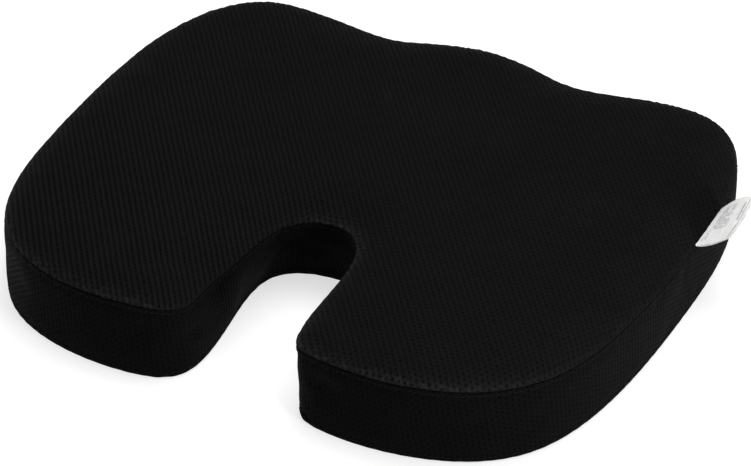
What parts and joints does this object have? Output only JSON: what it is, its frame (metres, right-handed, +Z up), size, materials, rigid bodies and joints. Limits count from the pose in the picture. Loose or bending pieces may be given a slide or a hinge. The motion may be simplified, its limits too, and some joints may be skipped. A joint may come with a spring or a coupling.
{
  "type": "seat cushion",
  "caption": "U-shaped foam seat cushion with a tailbone notch, a boxed zip-off mesh cover, a wavy front edge and a side care label.",
  "frame": {"origin": "on the underside's flat face, on the line of symmetry, midway between the rear and front edges", "axes": "+Z up through the seat surface, +Y towards the wavy front edge, the notch opens to -Y, +X towards the side with the care label"},
  "size_m": [0.4769, 0.4065, 0.0627],
  "materials": {
    "foam": "open-cell slow-recovery foam with a fine moulded skin",
    "liner_knit": "thin charcoal knit",
    "mesh_cloth": "matt black spacer mesh with fine staggered holes",
    "base_cloth": "matt black weave with raised grip dots",
    "zip_tape": "black woven tape",
    "zip_nylon": "satin black coil",
    "zip_metal": "black enamel, rubbed at the edges",
    "thread": "dark grey spun thread with a slight sheen",
    "label_satin": "white satin ribbon"
  },
  "bodies": {
    "cushion": {"foam_core": "foam", "foam_liner": "liner_knit", "cover_top_panel": "mesh_cloth", "cover_side_band": "mesh_cloth", "cover_base_front": "base_cloth", "cover_base_rear": "base_cloth", "zipper_tape_front": "zip_tape", "zipper_tape_rear": "zip_tape", "zipper_coil_front": "zip_nylon", "zipper_coil_rear": "zip_nylon", "zipper_stop_left": "zip_metal", "zipper_stop_right": "zip_metal", "zip_stitch_front": "thread", "zip_stitch_rear": "thread", "top_seam_thread": "thread", "base_seam_thread": "thread", "care_label": "label_satin"},
    "slider": {"zipper_slider": "zip_metal"},
    "pull": {"zipper_pull": "zip_metal"}
  },
  "joints": [
    {"name": "zip_travel", "type": "slide", "parent": "cushion", "child": "slider", "axis": [1, 0, 0], "range_m": [0, 0.328]},
    {"name": "pull_flip", "type": "hinge", "parent": "slider", "child": "pull", "pos_m": [-0.164, 0.06, 0.00265], "axis": [0, 1, 0], "range_deg": [0, 175]}
  ]
}
